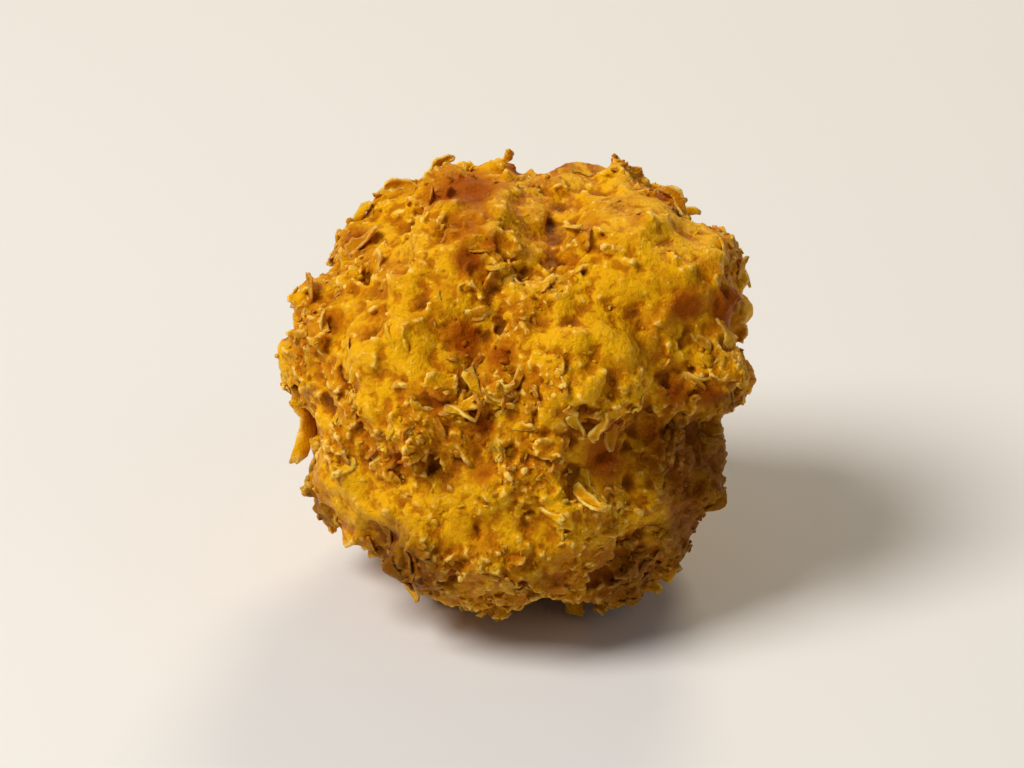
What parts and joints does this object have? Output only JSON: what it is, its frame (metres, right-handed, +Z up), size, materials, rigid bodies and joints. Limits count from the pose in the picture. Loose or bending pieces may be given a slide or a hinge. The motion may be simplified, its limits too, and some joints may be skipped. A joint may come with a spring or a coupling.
{
  "type": "fried cauliflower",
  "caption": "Breaded, deep-fried cauliflower floret: a rounded, lobed head in a craggy golden crumb crust, with a small flat spot that it rests on.",
  "frame": {"origin": "middle of the floret's outline seen from above, on the flat spot that it rests on", "axes": "+Z up, +X to the right and -Y towards the viewer of the pictured side"},
  "size_m": [0.0486, 0.0458, 0.0448],
  "materials": {
    "golden_crust": "rough fried crumb crust, golden yellow with toasted red-brown spots, pale flake edges and a slight oily sheen"
  },
  "bodies": {
    "root": {"fried_cauliflower": "golden_crust"}
  },
  "joints": []
}
